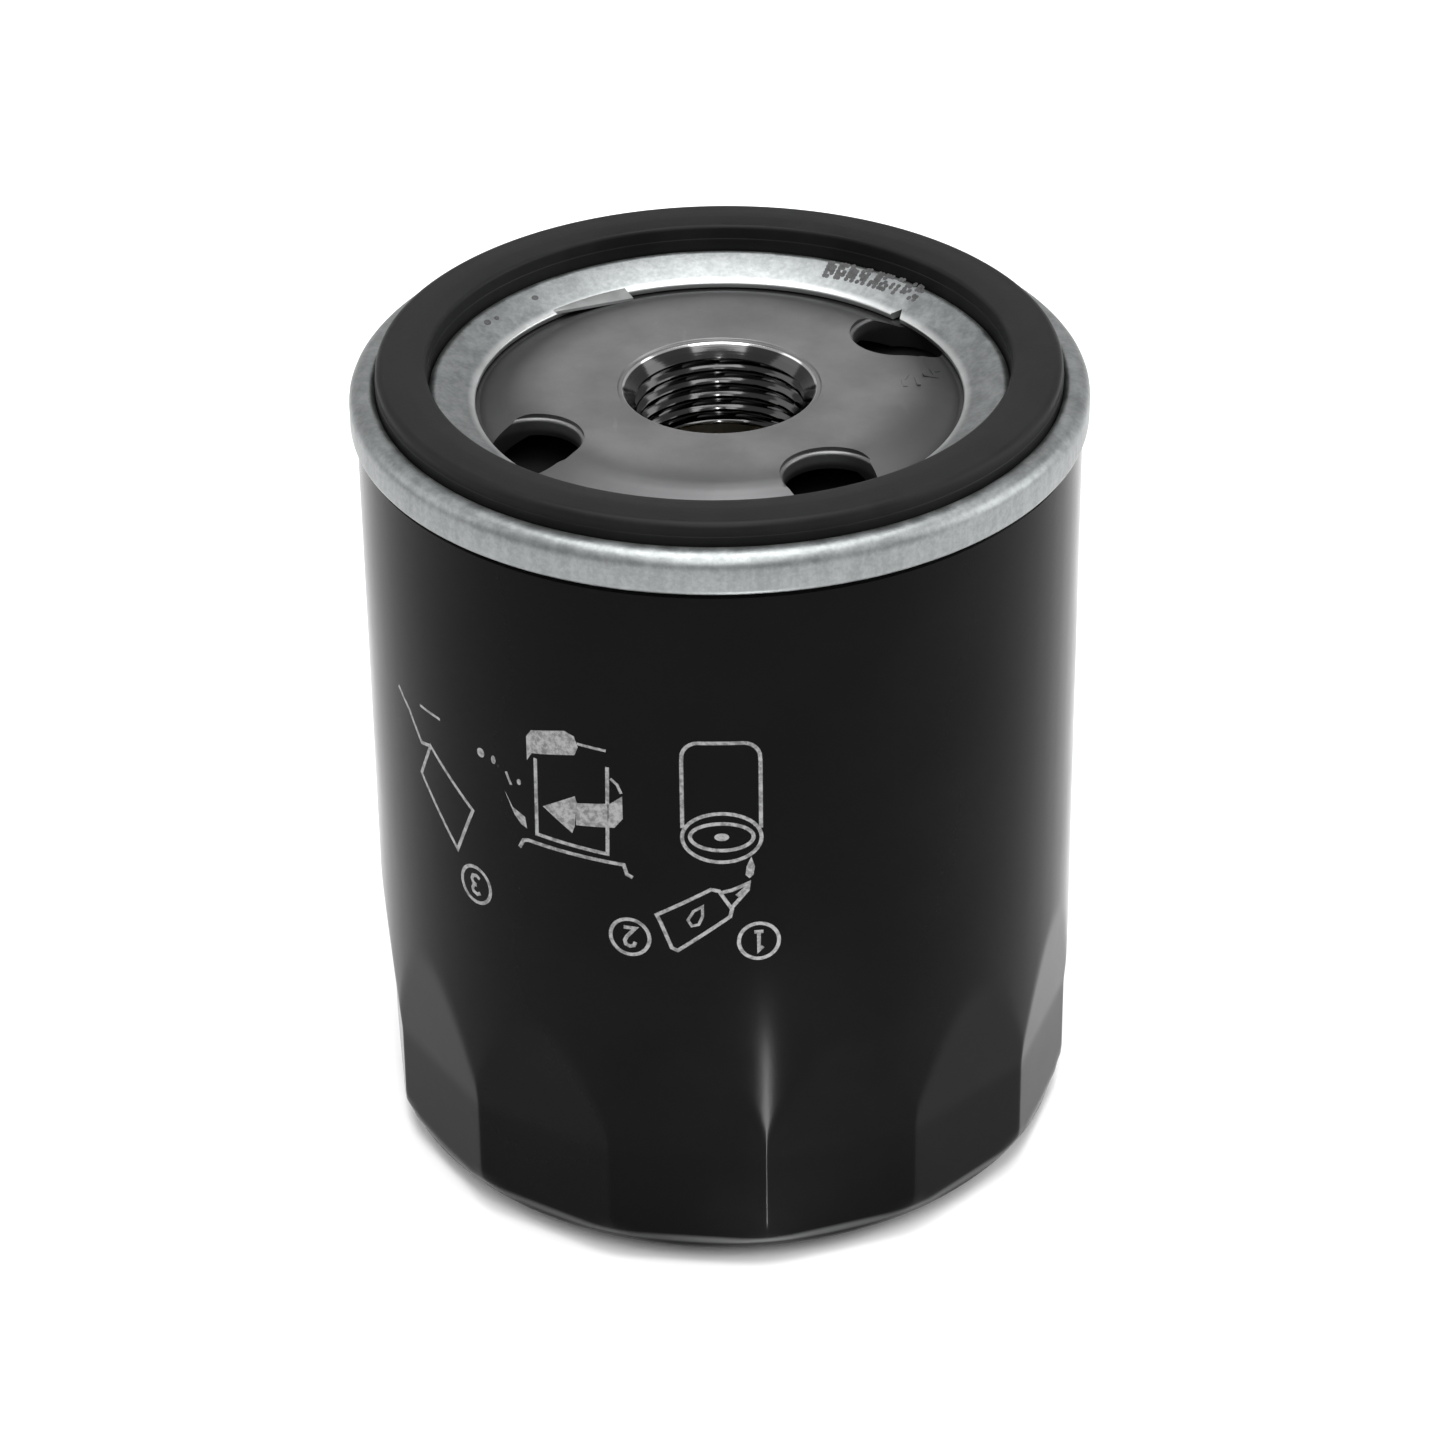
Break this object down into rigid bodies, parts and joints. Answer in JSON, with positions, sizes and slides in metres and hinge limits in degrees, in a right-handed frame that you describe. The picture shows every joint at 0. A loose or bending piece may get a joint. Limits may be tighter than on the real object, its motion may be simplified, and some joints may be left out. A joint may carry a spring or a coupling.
{
  "type": "spin-on oil filter",
  "caption": "Spin-on oil filter: black steel can with wrench flats, seamed lid, rubber gasket, threaded base plate, pleated element, anti-drain and bypass valves.",
  "frame": {"origin": "centre of the closed end's foot, on the surface that the filter stands on", "axes": "+Z along the can's axis, from the closed end to the gasket and thread; -Y is the printed front"},
  "size_m": [0.0764, 0.0764, 0.0898],
  "materials": {
    "black_paint": "gloss black enamel",
    "zinc_plate": "matt zinc plate",
    "drawn_steel": "oiled bare drawn steel, machined thread",
    "gasket_rubber": "moulded black nitrile rubber",
    "valve_rubber": "smooth black nitrile rubber",
    "sealant": "grey seam compound",
    "tinned_steel": "tin plate",
    "spring_steel": "drawn spring steel",
    "potting": "cured plastisol adhesive",
    "filter_paper": "resin-bonded cellulose filter paper"
  },
  "bodies": {
    "casing": {"can": "black_paint", "seaming_lid": "zinc_plate", "base_plate": "drawn_steel", "sealing_gasket": "gasket_rubber", "seam_sealant": "sealant", "top_end_cap": "tinned_steel", "bottom_end_cap": "tinned_steel", "top_potting": "potting", "bottom_potting": "potting", "filter_media": "filter_paper", "media_seam_clip": "tinned_steel", "center_tube": "tinned_steel", "bypass_seat": "tinned_steel", "bypass_cage": "tinned_steel", "element_spring": "spring_steel"},
    "anti_drain_lip": {"anti_drain_valve": "valve_rubber"},
    "bypass_poppet": {"bypass_disc": "tinned_steel", "bypass_seal": "valve_rubber", "bypass_stem": "spring_steel", "bypass_spring": "spring_steel"}
  },
  "joints": [
    {"name": "anti_drain_open", "type": "slide", "parent": "casing", "child": "anti_drain_lip", "axis": [0, 0, -1], "range_m": [0, 0.0015], "stiffness_N_per_m": 400, "deforming": ["anti_drain_valve"]},
    {"name": "bypass_lift", "type": "slide", "parent": "casing", "child": "bypass_poppet", "axis": [0, 0, 1], "range_m": [0, 0.003], "stiffness_N_per_m": 2000, "springref_m": -0.0065, "deforming": ["bypass_spring"]}
  ]
}
